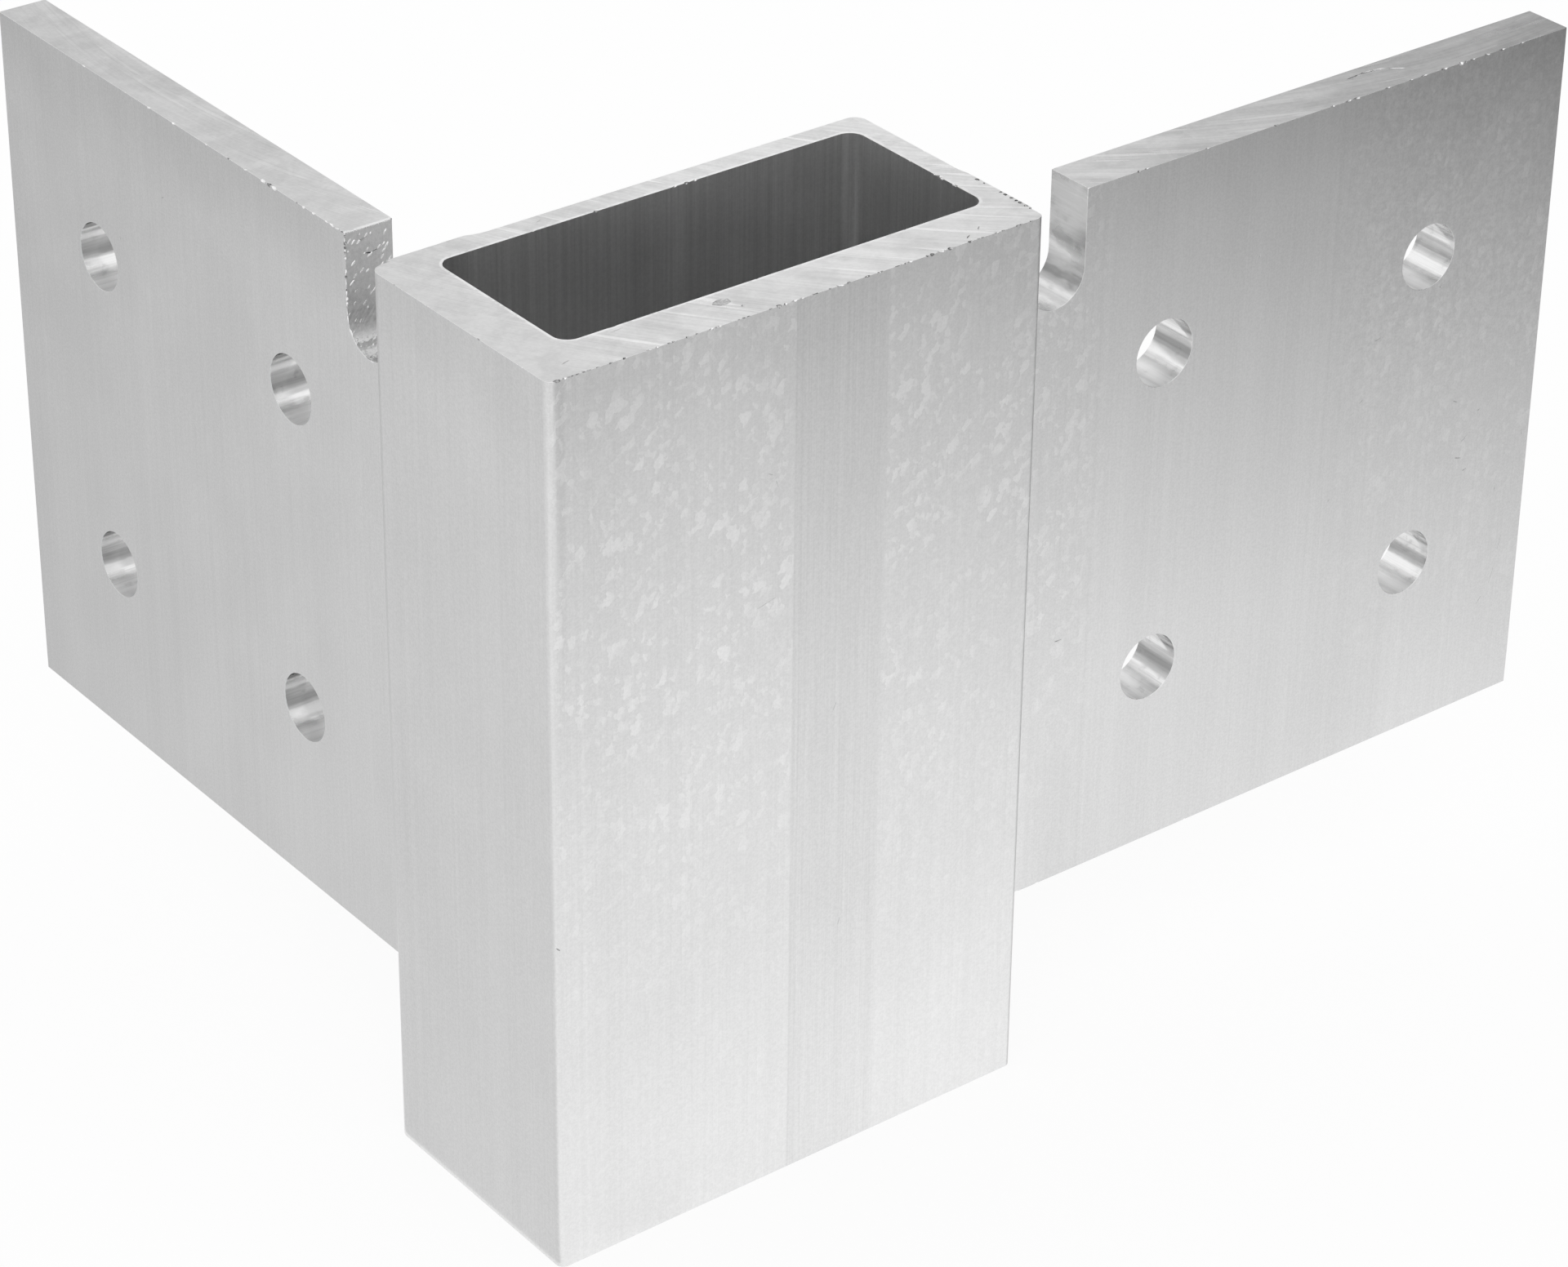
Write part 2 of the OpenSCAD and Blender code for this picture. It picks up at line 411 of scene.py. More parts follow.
def milled():
    """Milled metal: bands round the notch's bottom, dull smudges and fine cutter lines."""
    graph = Graph("mill_aluminium_milled")
    place = graph.place()
    x, _, z = graph.axes(place)
    lines = graph.noise(graph.mapped(place, (2.4, 0.12, 2.4)), detail=1)
    smudges = graph.noise(graph.mapped(place, (0.45, 0.22, 0.3)), detail=2)
    angle = graph.angle(graph.math("SUBTRACT", z, NOTCH_CENTRE),
                        graph.math("SUBTRACT", x, sum(RIGHT_NOTCH) / 2))
    angle = graph.total(angle, graph.ramp(smudges, 0.25, 0.75, -5.0, 5.0))
    in_notch = graph.ramp(z, NOTCH_BOTTOM - 2.0, NOTCH_BOTTOM - 1.0)
    banded = graph.times(graph.total(graph.bands(angle, MILLED_BANDS), -MILLED_METAL), in_notch)
    tone = graph.total(
        MILLED_METAL, banded, graph.times(graph.ramp(smudges, 0.5, 0.68), in_notch, -0.1),
        graph.ramp(lines, 0.3, 0.7, -0.03, 0.03))
    return graph.metal(tone, graph.ramp(smudges, 0.3, 0.7, 0.18, 0.28), lines, 0.15, 0.03)


def torn():
    """A wall that the cutter tore: dull, with bright slanting flecks, and streaked at its foot."""
    graph = Graph("mill_aluminium_torn")
    place = graph.place()
    _, y, z = graph.axes(place)
    grit = graph.noise(place, scale=1.6, detail=2, roughness=0.7)
    flecks = graph.specks(graph.slanted(place, (0.9, 0.9, 2.6), 40), 0.85, 0.23)
    streaks = graph.noise(graph.slanted(place, (0.4, 0.4, 2.6), 42), detail=1)
    angle = graph.angle(graph.math("SUBTRACT", z, NOTCH_CENTRE),
                        graph.math("SUBTRACT", y, sum(LEFT_NOTCH) / 2))
    foot = graph.ramp(z, 160.0, 157.0)
    angle = graph.total(angle, graph.times(graph.math("SUBTRACT", streaks, 0.5), foot, 34.0))
    tone = graph.total(graph.bands(angle, TORN_BANDS), graph.ramp(grit, 0.3, 0.7, -0.05, 0.05),
                       graph.times(flecks, 0.7),
                       graph.times(graph.math("SUBTRACT", streaks, 0.5), foot, 0.4))
    tone = graph.math("MINIMUM", tone, 1.0)
    rough = graph.math("SUBTRACT", graph.ramp(grit, 0.3, 0.7, 0.48, 0.6), graph.times(flecks, 0.3))
    relief = graph.total(grit, graph.times(flecks, 1.5))
    return graph.metal(tone, rough, relief, 0.8, 0.08)


def fresh(name, metal, roughness, spread):
    """Newly bared metal on worn edges and in nicks."""
    graph = Graph(name)
    place = graph.place()
    grit = graph.noise(place, scale=2.0, detail=2, roughness=0.6)
    tone = graph.ramp(grit, 0.35, 0.65, metal - spread, metal + spread)
    rough = graph.ramp(grit, 0.3, 0.7, 0.8 * roughness, 1.2 * roughness)
    return graph.metal(tone, rough, grit, 0.3, 0.04)


# Finishes, in the order of MATERIALS
SKIN, SAWN, RIGHT_BORE, LEFT_BORE, MILLED, TORN, EDGE, NICK, SCRATCH = range(9)

# Points this close are one, and a face this thin is a sliver, both in metres
WELD = 0.001 * MM
SLIVER = 0.0002 * MM

# Faces that meet below the first bend are one, above the second the edge between them is broken,
# and above the third it is shaded sharp
FLAT_ANGLE = math.radians(0.3)
SHARP_ANGLE = math.radians(35)
SHADED_ANGLE = math.radians(50)

# How near to a wall counts as on it, and how wide the broken edges are
NEAR = 0.05
CHAMFER = 0.1
LEAST_CHAMFER = 0.03

# How far from the left notch its wear still reaches
WORN_MARGIN = 0.5


def in_left_notch(place, margin=NEAR):
    inside = LEFT_NOTCH[0] - margin < place.y < LEFT_NOTCH[1] + margin
    return inside and place.x < LEFT_PLATE[1] + 1 and place.z > NOTCH_BOTTOM - margin


def in_right_notch(place, margin=NEAR):
    inside = RIGHT_NOTCH[0] - margin < place.x < RIGHT_NOTCH[1] + margin
    return inside and place.y < RIGHT_PLATE[1] + 1 and place.z > NOTCH_BOTTOM - margin


def surface_kind(face):
    """Which way of working left this face, told by where it is and how it faces."""
    place = face.calc_center_median() / MM
    x, y, z = place
    normal = face.normal
    if abs(normal.z) > 0.9 and (z > TOP - NEAR or z < NEAR):
        return SAWN
    if normal.z < -0.9 or (z < PLATE_BOTTOM and TUBE_RIGHT + NEAR < x):
        return MILLED
    if z < PLATE_BOTTOM and x < POCKET_X and y > TUBE_BACK + NEAR:
        return MILLED
    for height in BORE_HEIGHTS:
        for across in RIGHT_BORES:
            if math.hypot(x - across, z - height) < BORE_RADIUS + NEAR and abs(normal.y) < 0.5:
                return RIGHT_BORE
        for across in LEFT_BORES:
            if math.hypot(y - across, z - height) < BORE_RADIUS + NEAR and abs(normal.x) < 0.5:
                return LEFT_BORE
    if in_right_notch(place) and abs(normal.y) < 0.5:
        return MILLED
    if in_left_notch(place) and abs(normal.x) < 0.5:
        return TORN
    return SKIN


def fine_nicks(count, low, high):
    """Small random nicks between two distances along an edge."""
    dice = random.Random(5)
    return [(dice.uniform(low, high), dice.uniform(0.4, 1.1), dice.uniform(0.13, 0.26),
             dice.choice((NICK, NICK, EDGE))) for _ in range(count)]


FINE_NICKS = fine_nicks(30, -49.0, 46.0)

# Nicks that break an edge. For each edge: a place on it, the direction along it and the way out
# of the metal; then for each nick: how far along, its length, depth and finish
EDGE_NICKS = [
    (((0, TUBE_FRONT, TOP), (1, 0, 0), (0, -1, 1)), [
        (-51.6, 1.8, 0.4, NICK), (-50.2, 0.8, 0.3, EDGE), (-48.8, 2.4, 0.18, NICK),
        (-46.6, 1.8, 0.15, NICK), (-44.0, 0.6, 0.15, NICK), (-38.5, 1.0, 0.12, EDGE),
        (-30.0, 0.8, 0.2, NICK), (-24.6, 0.5, 0.2, NICK), (-20.5, 0.9, 0.16, EDGE),
        (-16.2, 0.5, 0.15, NICK), (-8.0, 0.9, 0.6, NICK), (-6.6, 0.7, 0.25, EDGE),
        (-4.9, 0.9, 0.3, EDGE), (-1.0, 0.6, 0.18, NICK), (2.4, 0.7, 0.2, NICK),
        (4.6, 2.4, 0.3, EDGE), (6.3, 0.8, 0.25, NICK), (9.8, 0.5, 0.16, NICK),
        (13.0, 0.8, 0.18, NICK), (17.2, 0.5, 0.14, NICK), (19.0, 1.2, 0.2, EDGE),
        (23.8, 0.9, 0.45, NICK), (25.6, 2.2, 0.3, EDGE), (27.6, 1.2, 0.4, NICK),
        (31.8, 1.3, 0.3, NICK), (34.4, 0.6, 0.2, NICK), (37.5, 0.8, 0.15, EDGE),
        (42.0, 0.9, 0.25, NICK), (45.0, 0.7, 0.2, NICK)]),
    (((0, TUBE_FRONT, TOP), (1, 0, 0), (0, -1, 1)), FINE_NICKS),
    (((TUBE_LEFT, 0, TOP), (0, 1, 0), (-1, 0, 1)), [
        (-21.0, 0.7, 0.12, EDGE), (-9.0, 1.0, 0.16, NICK), (6.0, 0.8, 0.12, EDGE),
        (15.0, 0.6, 0.1, NICK)]),
    (((TUBE_RIGHT, 0, TOP), (0, 1, 0), (1, 0, 1)), [
        (-24.2, 0.7, 0.35, NICK), (-23.0, 0.8, 0.4, NICK), (-21.6, 1.0, 0.4, NICK),
        (-20.4, 0.6, 0.35, NICK), (-19.2, 0.8, 0.35, NICK), (-17.6, 0.9, 0.4, NICK),
        (-16.4, 0.6, 0.3, NICK), (-12.0, 0.6, 0.2, NICK), (-10.3, 1.0, 0.4, NICK),
        (-4.0, 0.6, 0.15, NICK), (4.0, 0.9, 0.2, NICK)]),
    (((POCKET_X, 0, TOP), (0, 1, 0), (-1, 0, 1)), [
        (-10.0, 0.8, 0.3, NICK), (-9.3, 0.7, 0.3, EDGE), (-6.4, 1.0, 0.35, EDGE),
        (-5.2, 0.7, 0.4, NICK), (-4.2, 0.8, 0.3, EDGE), (2.4, 0.6, 0.15, EDGE)]),
    (((0, POCKET_Y, TOP), (1, 0, 0), (0, -1, 1)), [
        (7.6, 0.9, 0.4, NICK), (9.4, 0.8, 0.3, EDGE), (-11.3, 0.9, 0.3, NICK),
        (5.2, 1.2, 0.2, EDGE), (-24.0, 0.6, 0.15, EDGE)]),
    (((0, -POCKET_Y, TOP), (1, 0, 0), (0, 1, 1)), [
        (-33.8, 2.4, 0.16, EDGE), (-5.0, 0.8, 0.14, NICK), (26.0, 0.8, 0.14, NICK)]),
    (((0, RIGHT_PLATE[0], TOP), (1, 0, 0), (0, -1, 1)), [
        (72.5, 1.2, 0.3, NICK), (74.0, 0.8, 0.2, EDGE), (88.0, 0.9, 0.2, EDGE),
        (104.0, 1.6, 0.2, NICK), (117.6, 0.9, 0.2, EDGE), (121.2, 1.6, 0.24, EDGE),
        (123.2, 1.4, 0.34, EDGE), (130.8, 1.0, 0.22, EDGE), (136.4, 0.8, 0.16, EDGE),
        (139.6, 1.4, 0.22, EDGE), (144.6, 1.6, 0.3, EDGE), (148.7, 1.2, 0.5, EDGE),
        (150.0, 0.6, 0.3, NICK), (151.6, 1.2, 0.2, EDGE), (155.4, 1.6, 0.28, EDGE),
        (159.2, 1.2, 0.26, EDGE), (164.0, 0.9, 0.18, EDGE)]),
    (((LEFT_PLATE[0], 0, TOP), (0, 1, 0), (-1, 0, 1)), [
        (36.6, 0.8, 0.2, NICK), (38.0, 1.6, 0.24, EDGE), (39.6, 1.8, 0.26, EDGE),
        (41.4, 1.2, 0.2, EDGE), (45.2, 1.0, 0.3, EDGE), (48.4, 0.9, 0.35, EDGE),
        (50.4, 0.6, 0.2, NICK), (57.4, 1.6, 0.5, EDGE), (59.2, 1.3, 0.5, NICK),
        (61.0, 1.6, 0.45, EDGE), (66.6, 1.4, 0.25, EDGE), (72.0, 0.6, 0.2, NICK),
        (79.0, 0.8, 0.2, EDGE), (89.8, 1.0, 0.35, EDGE), (98.0, 1.4, 0.3, EDGE),
        (106.0, 0.8, 0.15, EDGE), (120.0, 1.0, 0.2, EDGE)]),
    (((LEFT_PLATE[0], LEFT_NOTCH[1], 0), (0, 0, 1), (-1, -1, 0)), [
        (172.3, 0.6, 0.3, NICK), (171.0, 0.8, 0.45, NICK), (170.1, 0.6, 0.4, NICK),
        (169.3, 0.7, 0.35, NICK), (168.4, 0.5, 0.35, EDGE), (165.9, 0.7, 0.25, EDGE),
        (164.8, 0.7, 0.35, NICK), (162.4, 0.5, 0.2, NICK), (160.8, 0.6, 0.35, EDGE),
        (160.0, 0.5, 0.3, EDGE), (159.2, 0.5, 0.25, NICK)]),
    (((0, RIGHT_PLATE[0], PLATE_BOTTOM), (1, 0, 0), (0, -1, -1)), [
        (50.8, 2.4, 0.35, NICK), (56.0, 1.2, 0.2, EDGE), (92.0, 0.9, 0.15, EDGE)]),
]

# Marks cut into a face. For each face: a place on it, the ways across and up it and out of it;
# its finish; then for each mark: how far across and up, its lean in degrees, length, width
# and depth
FACE_MARKS = [
    (((0, TUBE_FRONT, 0), (1, 0, 0), (0, 0, 1), (0, -1, 0)), SCRATCH, [
        (-53.0, 66.4, -40, 1.2, 0.4, 0.75), (6.6, 48.3, 73, 1.6, 0.22, 0.1),
        (4.9, 93.0, 63, 2.2, 0.16, 0.06), (-9.4, 142.6, -27, 1.4, 0.12, 0.04),
        (-8.0, 140.3, -73, 1.6, 0.12, 0.04), (-10, 118.4, 14, 4.5, 0.12, 0.04)]),
    (((0, RIGHT_PLATE[0], 0), (1, 0, 0), (0, 0, 1), (0, -1, 0)), SCRATCH, [
        (58.5, 85.0, -3, 1.8, 0.22, 0.1), (102.1, 148.2, 68, 0.9, 0.3, 0.1),
        (148.3, 128.6, 22, 0.6, 0.4, 0.12), (133.1, 122.3, 11, 1.8, 0.18, 0.05),
        (130.1, 110.5, 31, 1.2, 0.2, 0.06), (128.0, 108.6, 42, 1.0, 0.16, 0.06),
        (153.3, 109.2, 35, 2.6, 0.14, 0.05), (154.9, 102.7, -27, 1.6, 0.2, 0.06),
        (158.6, 94.1, 31, 3.0, 0.2, 0.07), (156.9, 90.1, -17, 1.8, 0.2, 0.06),
        (158.9, 87.0, 17, 1.2, 0.24, 0.08), (167.7, 79.9, 79, 1.0, 0.3, 0.1),
        (173.7, 90.3, -79, 1.6, 0.24, 0.08), (123.6, 92.0, 27, 0.7, 0.3, 0.08),
        (170.3, 67.2, 76, 3.4, 0.12, 0.04), (168.9, 60.5, 73, 3.6, 0.14, 0.05),
        (166.1, 56.0, 51, 2.2, 0.2, 0.06), (161.5, 99.0, 22, 1.0, 0.2, 0.06)]),
    (((LEFT_PLATE[0], 0, 0), (0, 1, 0), (0, 0, 1), (-1, 0, 0)), SCRATCH, [
        (110.9, 142.7, 68, 0.7, 0.4, 0.1), (95.0, 156.8, -31, 1.2, 0.2, 0.05),
        (47.2, 137.9, 14, 3.4, 0.1, 0.04), (140.5, 107.6, 73, 0.7, 0.3, 0.08),
        (148.2, 134.0, 73, 0.6, 0.3, 0.08)]),
    (((0, 0, TOP), (1, 0, 0), (0, 1, 0), (0, 0, 1)), SCRATCH, [
        (-14.6, -21.4, 9, 3.8, 2.4, 0.14), (-12.6, -24.4, 27, 0.9, 0.5, 0.2),
        (-46.9, -23.6, 17, 2.2, 0.18, 0.08), (-34.0, -19.4, 5, 3.0, 0.16, 0.05),
        (45.6, 10.4, -42, 3.2, 0.16, 0.06), (46.0, 1.6, -27, 2.6, 0.16, 0.06),
        (-21.0, 20.6, 17, 1.6, 0.14, 0.05), (32.7, -26.4, 31, 1.6, 0.3, 0.1),
        (36.2, -24.8, 42, 1.4, 0.24, 0.08)]),
    (((0, 0, TOP), (1, 0, 0), (0, 1, 0), (0, 0, 1)), EDGE, [
        (129.6, -17.0, 5, 5.0, 0.7, 0.16), (133.6, -17.1, -10, 5.4, 0.75, 0.18),
        (137.8, -18.8, -30, 3.6, 0.3, 0.08)]),
]

# Rows of small burrs along an edge: start, end, the way they hang, how far they reach, finish
BURR_TOP = TOP - 0.15
BURR_ROWS = [
    ((TUBE_RIGHT, -16.4, BURR_TOP), (TUBE_RIGHT, -24.0, BURR_TOP), (1, 0, -0.35), 0.45, NICK),
    ((TUBE_RIGHT, -9.9, BURR_TOP), (TUBE_RIGHT, -11.6, BURR_TOP), (1, 0, -0.35), 0.4, NICK),
    ((POCKET_X, -3.4, BURR_TOP), (POCKET_X, -6.6, BURR_TOP), (-1, 0, -0.3), 0.3, NICK),
    ((POCKET_X, -9.2, BURR_TOP), (POCKET_X, -9.9, BURR_TOP), (-1, 0, -0.3), 0.3, NICK),
    ((7.0, POCKET_Y, BURR_TOP), (8.2, POCKET_Y, BURR_TOP), (0, -1, -0.3), 0.35, NICK),
    ((-40.4, LEFT_NOTCH[1], TOP - 0.2), (-49.2, LEFT_NOTCH[1], TOP - 0.2), (0, -1, 0.1), 0.3, EDGE),
]

# How many tears stand up from the left notch's wall
FLECK_COUNT = 24


def pitch_at(place):
    """How finely an edge is divided there, in millimetres, for its wear to show."""
    if in_left_notch(place, WORN_MARGIN):
        return 0.45
    if place.z > TOP - NEAR:
        return 0.6
    return 6.0


def wear_at(place, side):
    """How far the edge is worn back there on one of its sides, beyond its chamfer."""
    if place.z < TOP - NEAR and not in_left_notch(place, WORN_MARGIN):
        return LEAST_CHAMFER - CHAMFER
    shifted = place + Vector((0, 0, 40 * side))
    wear = 0.03 * noise.noise(shifted * 0.35) + 0.03 * noise.noise(shifted * 1.7)
    if in_left_notch(place, WORN_MARGIN) and place.z > TOP - NEAR:
        wear += 0.08 + 0.25 * abs(noise.noise(shifted * 1.9))
    elif in_left_notch(place, WORN_MARGIN) and place.x < LEFT_PLATE[0] + 1:
        wear = LEAST_CHAMFER - CHAMFER + 0.35 * max(0.0, noise.noise(shifted * 1.3) - 0.05)
    return max(wear, LEAST_CHAMFER - CHAMFER)


def is_sharp(edge):
    """Whether the faces beside the edge turn enough there for it to be broken."""
    return edge.is_manifold and edge.calc_face_angle() > SHARP_ANGLE


def divide_edges(bm):
    """Cut the sharp edges into pieces that wear can move one by one."""
    for edge in [edge for edge in bm.edges if is_sharp(edge)]:
        middle = (edge.verts[0].co + edge.verts[1].co) / 2 / MM
        cuts = int(edge.calc_length() / MM / pitch_at(middle)) - 1
        if cuts > 0:
            bmesh.ops.subdivide_edges(bm, edges=[edge], cuts=cuts)


def wear_edges(bm):
    """Chamfer every sharp edge, then wear the chamfer back unevenly in the planes beside it."""
    edges = [edge for edge in bm.edges if is_sharp(edge)]
    bmesh.ops.bevel(bm, geom=edges, offset=CHAMFER * MM, segments=1, profile=0.5, affect="EDGES",
                    clamp_overlap=True, material=EDGE)
    moves = {}
    for edge in bm.edges:
        if any(face.material_index != EDGE for face in edge.link_faces):
            continue
        normals = []
        for vert in edge.verts:
            plane = [face for face in vert.link_faces if face.material_index != EDGE]
            normals.append(plane[0].normal.copy() if plane else None)
        if None in normals or abs(normals[0].dot(normals[1])) > 0.3:
            continue
        middle = (edge.verts[0].co + edge.verts[1].co) / 2 / MM
        for vert, other in zip(edge.verts, reversed(normals)):
            side = 0 if abs(other.z) > 0.5 else 1
            moves[vert] = -other * wear_at(middle, side) * MM
    for vert, move in moves.items():
        vert.co += move


def mesh_of(bm, name):
    """The shape as a mesh that has every material."""
    mesh = bpy.data.meshes.new(name)
    bm.to_mesh(mesh)
    bm.free()
    for material in MATERIALS:
        mesh.materials.append(material)
    return mesh


def lens(bm, dice, place, sides, finish):
    """An uneven ellipsoid, whose three half axes are the sides."""
    axes = Matrix(sides).transposed()
    ball = bmesh.ops.create_icosphere(bm, subdivisions=2, radius=1.0)["verts"]
    for vert in ball:
        vert.co = (place + axes @ (vert.co * dice.uniform(0.78, 1.15))) * MM
    for face in {face for vert in ball for face in vert.link_faces}:
        face.material_index = finish


def marks_mesh():
    """The shapes that are cut out of the faces and edges."""
    bm = bmesh.new()
    dice = random.Random(7)
    for (origin, across, up, outward), finish, marks in FACE_MARKS:
        origin, across, up, outward = Vector(origin), Vector(across), Vector(up), Vector(outward)
        for right, above, lean, length, width, depth in marks:
            place = origin + across * right + up * above + outward * depth * 0.15
            lean = math.radians(lean)
            along = across * math.cos(lean) + up * math.sin(lean)
            sides = (along * length / 2, outward.cross(along) * width / 2, outward * depth)
            lens(bm, dice, place, sides, finish)
    for (line, along, outward), nicks in EDGE_NICKS:
        along, outward = Vector(along), Vector(outward).normalized()
        for distance, length, depth, finish in nicks:
            place = Vector(line) + along * (distance + dice.uniform(-0.1, 0.1))
            lean = (along + outward.cross(along) * dice.uniform(-0.5, 0.5)).normalized()
            sides = (lean * length / 2, outward.cross(lean) * depth, outward * depth * 0.85)
            lens(bm, dice, place, sides, finish)
    return mesh_of(bm, "marks")


def add_flecks(bm, dice):
    """Small slanting tears that stand up from the left notch's wall."""
    outward = Vector((0, -1, 0))
    for _ in range(FLECK_COUNT):
        across = dice.uniform(-49.0, -40.6)
        place = Vector((across, LEFT_NOTCH[1], TOP - 16 * dice.random() ** 1.4 - 1))
        lean = math.radians(dice.uniform(30, 50))
        along = Vector((math.sin(lean), 0, math.cos(lean)))
        half = dice.uniform(0.2, 0.75)
        sides = (along * half, along.cross(outward) * (0.12 + 0.14 * half), outward * 0.16)
        lens(bm, dice, place, sides, EDGE)


def burrs_mesh():
    """Small hooks of metal that the saw pushed over the edges, and the notch's flecks."""
    bm = bmesh.new()
    dice = random.Random(11)
    add_flecks(bm, dice)
    for start, end, outward, reach, finish in BURR_ROWS:
        start, end, outward = Vector(start), Vector(end), Vector(outward).normalized()
        run = (end - start).normalized()
        count = max(2, int((end - start).length / 0.42))
        for step in range(count):
            foot = start.lerp(end, (step + dice.uniform(0.2, 0.8)) / count) - outward * 0.12
            radius = dice.uniform(0.09, 0.2)
            length = 0.12 + reach * dice.uniform(0.25, 1.0)
            tip = outward * length + run * dice.uniform(-0.15, 0.15)
            hook = bmesh.ops.create_icosphere(bm, subdivisions=1, radius=1.0)["verts"]
            upward = run.cross(outward)
            for vert in hook:
                lean = (vert.co.x + 1) / 2
                slim = 1.0 - 0.6 * lean
                across = run * vert.co.y * radius * slim + upward * vert.co.z * radius * 0.6 * slim
                vert.co = (foot + tip * lean + across) * MM
                vert.co.z = min(vert.co.z, TOP * MM)
            for face in {face for vert in hook for face in vert.link_faces}:
                face.material_index = finish
                face.smooth = True
    return mesh_of(bm, "burrs")


def combine(body, name, operation, mesh):
    """Add or cut a mesh, and leave the body's own mesh holding the result."""
    other = bpy.data.objects.new(name, mesh)
    bpy.context.scene.collection.objects.link(other)
    step = body.modifiers.new(name, "BOOLEAN")
    step.operation = operation
    step.object = other
    step.solver = "EXACT"
    step.use_self = True
    graph = bpy.context.evaluated_depsgraph_get()
    result = bpy.data.meshes.new_from_object(body.evaluated_get(graph))
    body.modifiers.remove(step)
    body.data = result
    bpy.data.objects.remove(other)


def finish_mesh(mesh):
    """Clear away slivers, and keep a face's shading clear of the chamfers and marks beside it."""
    bm = bmesh.new()
    bm.from_mesh(mesh)
    bmesh.ops.dissolve_degenerate(bm, dist=SLIVER, edges=bm.edges)
    loose = [edge for edge in bm.edges if not edge.link_faces]
    bmesh.ops.delete(bm, geom=loose, context="EDGES")
    for edge in bm.edges:
        kinds = {face.material_index for face in edge.link_faces}
        if kinds & {EDGE, NICK, SCRATCH} and len(kinds) > 1:
            edge.smooth = False
    bm.to_mesh(mesh)
    bm.free()


def add_body():
    """The visible piece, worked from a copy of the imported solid."""
    bm = bmesh.new()
    bm.from_mesh(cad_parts[NODE].data)
    bmesh.ops.remove_doubles(bm, verts=bm.verts, dist=WELD)
    bmesh.ops.dissolve_limit(bm, angle_limit=FLAT_ANGLE, verts=bm.verts, edges=bm.edges)
    for face in bm.faces:
        face.material_index = surface_kind(face)
        face.smooth = True
    divide_edges(bm)
    wear_edges(bm)
    name = NODE + "_worked"
    body = bpy.data.objects.new(name, mesh_of(bm, name))
    bpy.context.scene.collection.objects.link(body)
    combine(body, "marks", "DIFFERENCE", marks_mesh())
    combine(body, "burrs", "UNION", burrs_mesh())
    body.data.set_sharp_from_angle(angle=SHADED_ANGLE)
    finish_mesh(body.data)
    weighted = body.modifiers.new("flat_faces", "WEIGHTED_NORMAL")
    weighted.keep_sharp = True
    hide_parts(NODE)
    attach(body, "root")


def link(name, data, place=(0, 0, 0), turn=(0, 0, 0)):
    thing = bpy.data.objects.new(name, data)
    thing.location = Vector(place) * MM
    thing.rotation_euler = Euler([math.radians(angle) for angle in turn])
    bpy.context.scene.collection.objects.link(thing)
    return thing


def add_camera():
    """The camera, where it stood for the photograph."""
    data = bpy.data.cameras.new("camera")
    data.sensor_width = 36
    data.lens = CAMERA_FOCUS_PX * data.sensor_width / IMAGE_WIDTH
    data.shift_y = CAMERA_SHIFT_Y
    data.clip_start = 10 * MM
    camera = link("camera", data, CAMERA_PLACE / MM, CAMERA_TURN)
    bpy.context.scene.camera = camera


def sheet(name, corners, material):
    """A flat piece of the studio."""
    mesh = bpy.data.meshes.new(name)
    mesh.from_pydata([Vector(corner) * MM for corner in corners], [], [tuple(range(len(corners)))])
    mesh.materials.append(material)
    thing = link(name, mesh)
    return thing


def floor_material():
    """Pale floor: most of what is seen of it is plain white, and the rest keeps the shadow."""
    graph = Graph("pale_floor")
    graph.shader.inputs["Base Color"].default_value = (0.98, 0.98, 0.98, 1)
    graph.shader.inputs["Roughness"].default_value = 0.9
    rays = graph.add("ShaderNodeLightPath", output="Is Camera Ray").node.outputs
    seen = graph.math("MAXIMUM", rays["Is Camera Ray"], rays["Is Glossy Ray"])
    seen = graph.math("MAXIMUM", seen, rays["Is Transmission Ray"])
    white = graph.add("ShaderNodeEmission", {"Color": (1, 1, 1, 1), "Strength": 1.0})
    share = graph.math("MULTIPLY", seen, FLOOR_WHITE)
    mixed = graph.add("ShaderNodeMixShader", {0: share, 1: graph.shader.outputs[0], 2: white})
    graph.join(graph.output.inputs["Surface"], mixed)
    return graph.material


def flag_material(name, shade, direction, near, far, start=0.0):
    """A studio flag whose cover grows from near to far along a direction, in millimetres."""
    graph = Graph(name)
    reach = graph.add("ShaderNodeVectorMath", {0: graph.place(), 1: direction}, output="Value",
                      operation="DOT_PRODUCT")
    cover = graph.ramp(reach, near, far, start, 1.0, "LINEAR")
    clear = graph.add("ShaderNodeBsdfTransparent")
    dark = graph.add("ShaderNodeEmission", {"Color": (shade, shade, shade, 1), "Strength": 1.0})
    graph.join(graph.output.inputs["Surface"],
               graph.add("ShaderNodeMixShader", {0: cover, 1: clear, 2: dark}))
    return graph.material


def add_flag(name, corners, *shading):
    """A flag outside the photograph, which the metal mirrors and nothing else sees."""
    flag = sheet(name, corners, flag_material(name, *shading))
    flag.visible_camera = False
    flag.visible_diffuse = False
    flag.visible_transmission = False
    flag.visible_shadow = False


def add_lamp(name, place, turn, size, radiance):
    data = bpy.data.lights.new(name, "AREA")
    data.shape = "SQUARE"
    data.size = size * MM
    data.energy = radiance * math.pi * (size * MM) ** 2
    link(name, data, place, turn)


def add_world():
    world = bpy.data.worlds.new("studio")
    bpy.context.scene.world = world
    world.use_nodes = True
    background = world.node_tree.nodes["Background"]
    background.inputs["Color"].default_value = (1, 1, 1, 1)
    background.inputs["Strength"].default_value = WORLD_STRENGTH


# The share of plain white in what is seen of the floor, and the light from all round
FLOOR_WHITE = 0.88
WORLD_STRENGTH = 0.885

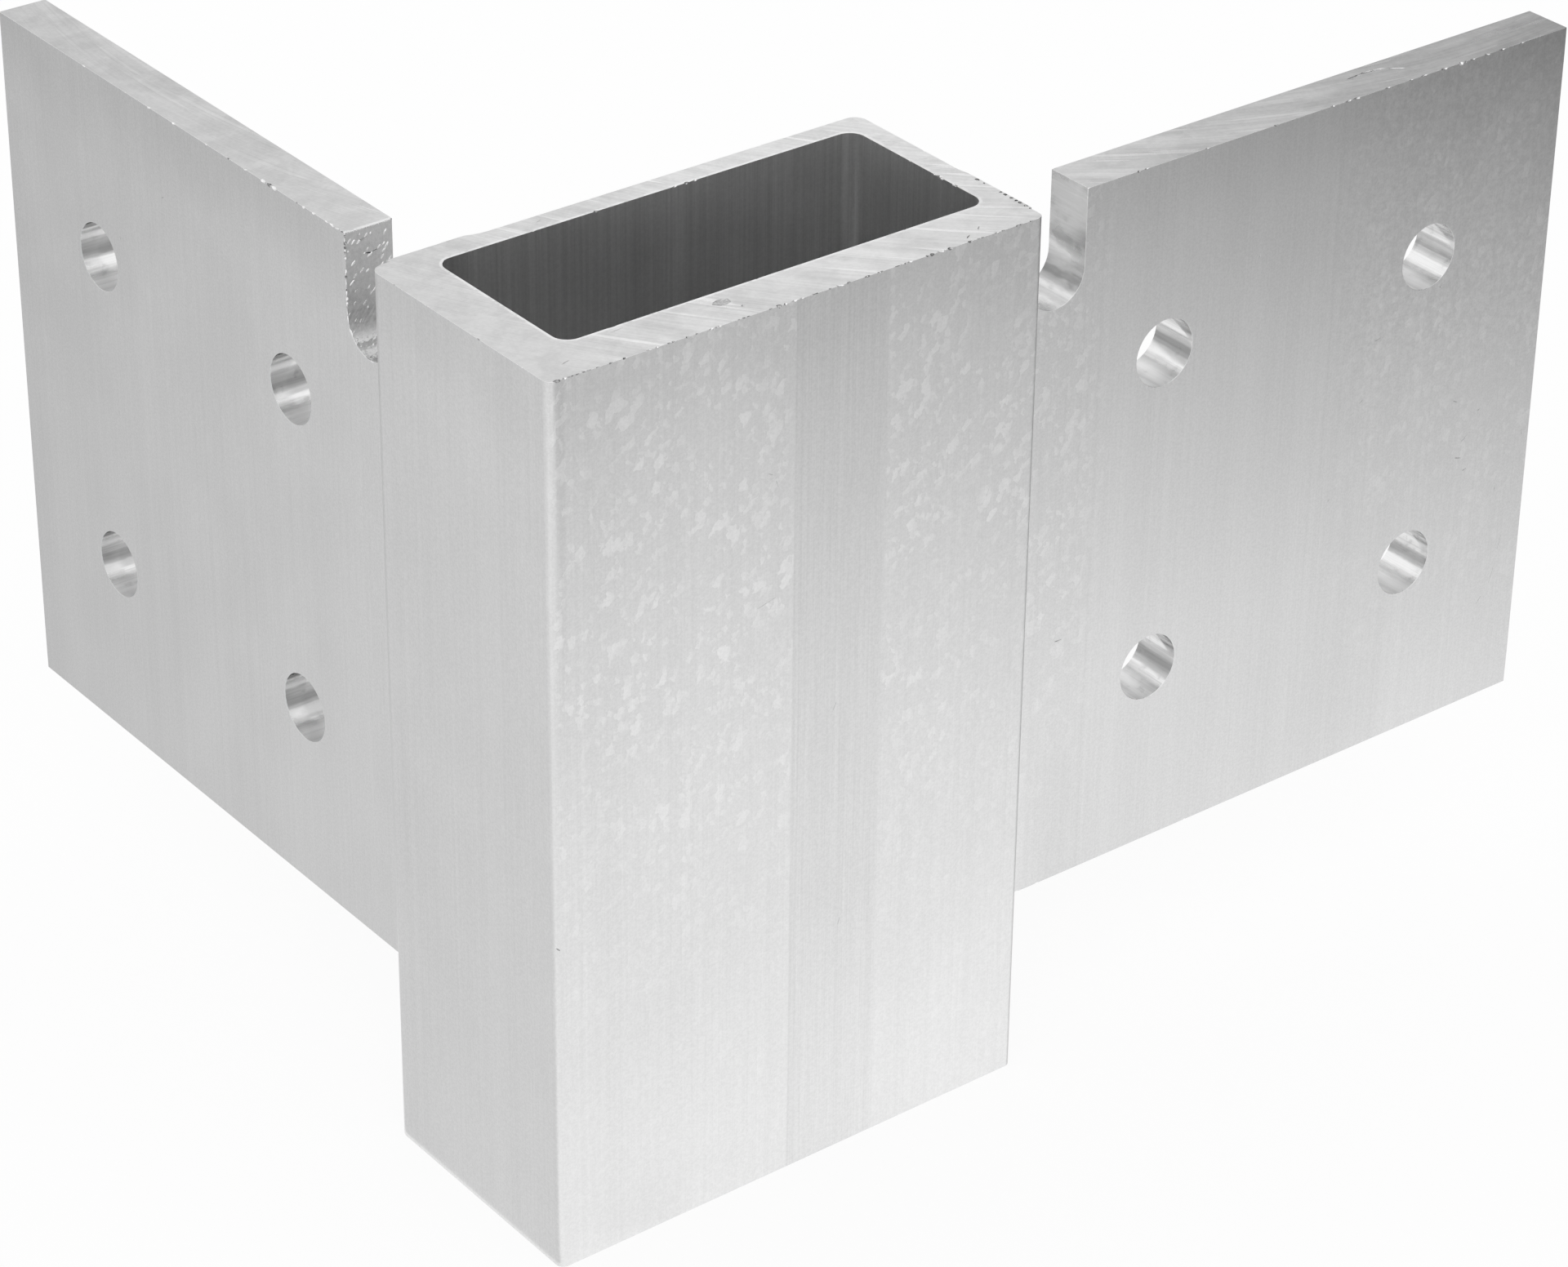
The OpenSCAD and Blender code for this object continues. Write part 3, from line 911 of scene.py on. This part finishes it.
# Flags: how pale each is, the way along which its cover grows, where that starts and ends, and
# the cover that it starts with, if any
FRONT_RIGHT = (0.75, -0.66, 0.0)
FRONT_FLAG = (0.06, FRONT_RIGHT, 160.0, 690.0)
LEFT_FLAG = (0.53, (0.7, 0.7, 0.0), -55.0, 160.0, 0.45)
CORNER_FLAG = (0.92, (-0.7, -0.7, 0.0), 50.0, 420.0)
RIGHT_FLAG = (0.1, (0.0, -1.0, 0.0), -520.0, -60.0)
BACK_FLAG = (0.62, (-1.0, 0.0, 0.0), -600.0, -350.0)


def level(left, front, right, back, height):
    """Corners of a level rectangle."""
    return [(left, front, height), (right, front, height),
            (right, back, height), (left, back, height)]


def add_studio():
    """The floor, the flags that the metal mirrors from the photograph's angle, and the light."""
    reach = 8000.0
    sheet("floor", level(-reach, -reach, reach, reach, 0), floor_material())

    # Three flags lie just above the floor, the first of them under the other two
    far = 3000.0
    low, high = 0.2, 0.4
    left, front = TUBE_LEFT - 0.3, TUBE_FRONT
    add_flag("front_flag", level(-far, -far, far, far, low), *FRONT_FLAG)
    add_flag("left_flag", level(-far, front, left, far, high), *LEFT_FLAG)
    add_flag("corner_flag", level(-far, -far, left, front, high), *CORNER_FLAG)

    # Two stand upright: one to the right, lower in front, and one behind
    right, back = 450.0, 900.0
    outline = [(-600, 0), (700, 0), (700, 900), (-150, 900), (-150, 450), (-600, 450)]
    add_flag("right_flag", [(right, across, up) for across, up in outline], *RIGHT_FLAG)
    outline = [(-100, 0), (600, 0), (600, 1500), (-100, 1500)]
    add_flag("back_flag", [(across, back, up) for across, up in outline], *BACK_FLAG)

    add_lamp("key_lamp", (-300, -1200, 1500), (38, 0, -14), 1500, 0.4)
    add_lamp("overhead_lamp", (100, 500, 1700), (-15, 0, 0), 1200, 0.3)
    add_world()


MATERIALS = [
    extruded_skin(),
    sawn_end(),
    bored("mill_aluminium_bored_y", "X", RIGHT_BORES[0], (3.0, 0.1, 3.0), RIGHT_BANDS),
    bored("mill_aluminium_bored_x", "Y", LEFT_BORES[0], (0.1, 3.0, 3.0), LEFT_BANDS),
    milled(),
    torn(),
    fresh("mill_aluminium_edge", 0.93, 0.3, 0.07),
    fresh("mill_aluminium_nick", 0.4, 0.35, 0.22),
    fresh("mill_aluminium_scratch", 0.6, 0.35, 0.1),
]

add_body()
add_camera()
add_studio()
scene = bpy.context.scene
scene.view_settings.view_transform = "Standard"
